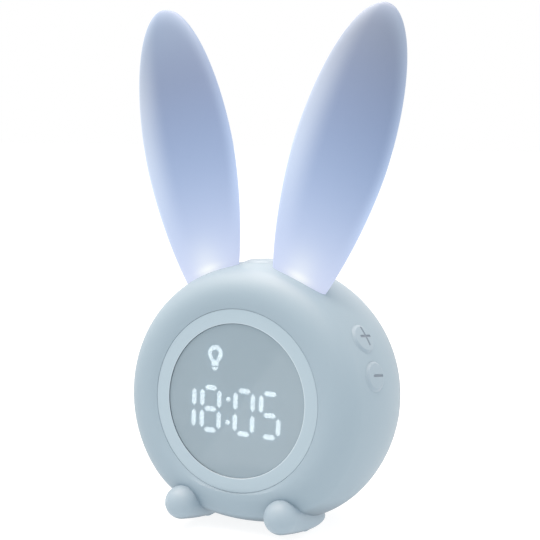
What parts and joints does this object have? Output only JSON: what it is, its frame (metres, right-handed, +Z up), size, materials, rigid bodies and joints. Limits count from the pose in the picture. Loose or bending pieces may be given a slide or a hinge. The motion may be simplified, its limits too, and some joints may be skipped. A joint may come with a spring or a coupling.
{
  "type": "alarm clock",
  "caption": "Round bedside alarm clock for children with tall glowing ears, a lit digital display behind a round lens, side buttons, a night light button on the crown and toe-like feet.",
  "frame": {"origin": "on the ground under the middle of the clock's overall box", "axes": "+X to the right as the face is seen, +Y to the back, +Z up; the display faces -Y and leans back 4 degrees"},
  "size_m": [0.1188, 0.0717, 0.205],
  "materials": {
    "case": "matte, pale grey-blue ABS",
    "bezel": "satin, a little lighter than the case",
    "lens": "gloss, smoked grey-blue",
    "mask": "matte",
    "light_pipe": "milky white, lit",
    "unlit_pipe": "dark, unlit",
    "led": "clear LED body",
    "ear": "milky translucent, satin outside",
    "button": "matte, as the case",
    "board": "solder-masked circuit board",
    "black_plastic": "matte black",
    "steel": "zinc-plated",
    "nickel": "nickel-plated spring sheet",
    "standoff": "bright",
    "cell": "plastic-sleeved can",
    "rubber": "matte grey",
    "magnet": "dark ferrite",
    "cone": "paper cone",
    "foam": "closed-cell foam"
  },
  "bodies": {
    "clock": {"main_shell": "case", "rear_cover": "case", "bezel_ring": "bezel", "display_lens": "lens", "display_mask": "mask", "lit_segments": "light_pipe", "unlit_segments": "unlit_pipe", "display_board": "board", "display_leds": "led", "display_screws": "steel", "left_ear": "ear", "right_ear": "ear", "left_ear_board": "board", "right_ear_board": "board", "ear_leds": "led", "ear_screws": "steel", "night_light_key_board": "board", "right_key_board": "board", "left_key_board": "board", "key_switches": "black_plastic", "key_board_screws": "steel", "left_foot": "case", "right_foot": "case", "foot_push_nuts": "nickel", "foot_pads": "rubber", "rear_foot": "rubber", "main_board": "board", "main_board_parts": "black_plastic", "standoffs": "standoff", "main_board_screws": "steel", "battery_tray": "black_plastic", "battery_cell": "cell", "battery_contacts": "nickel", "battery_strap": "black_plastic", "speaker_frame": "steel", "speaker_magnet": "magnet", "speaker_cone": "cone", "speaker_gasket": "foam", "speaker_screws": "steel", "charging_board": "board", "charging_inlet": "nickel", "charging_screws": "steel", "case_screws": "steel"},
    "night_light_key": {"night_light_button": "button"},
    "plus_key": {"plus_button": "button"},
    "minus_key": {"minus_button": "button"},
    "mode_key": {"mode_button": "button"},
    "alarm_key": {"alarm_button": "button"}
  },
  "joints": [
    {"name": "night_light_press", "type": "slide", "parent": "clock", "child": "night_light_key", "axis": [0, -0.0698, -0.9976], "range_m": [0, 0.0008], "stiffness_N_per_m": 600, "springref_m": -0.0005},
    {"name": "plus_press", "type": "slide", "parent": "clock", "child": "plus_key", "axis": [-0.9272, -0.0261, -0.3737], "range_m": [0, 0.001], "stiffness_N_per_m": 600, "springref_m": -0.0005},
    {"name": "minus_press", "type": "slide", "parent": "clock", "child": "minus_key", "axis": [-0.9272, -0.0261, -0.3737], "range_m": [0, 0.001], "stiffness_N_per_m": 600, "springref_m": -0.0005},
    {"name": "mode_press", "type": "slide", "parent": "clock", "child": "mode_key", "axis": [0.9272, -0.0261, -0.3737], "range_m": [0, 0.001], "stiffness_N_per_m": 600, "springref_m": -0.0005},
    {"name": "alarm_press", "type": "slide", "parent": "clock", "child": "alarm_key", "axis": [0.9272, -0.0261, -0.3737], "range_m": [0, 0.001], "stiffness_N_per_m": 600, "springref_m": -0.0005}
  ]
}
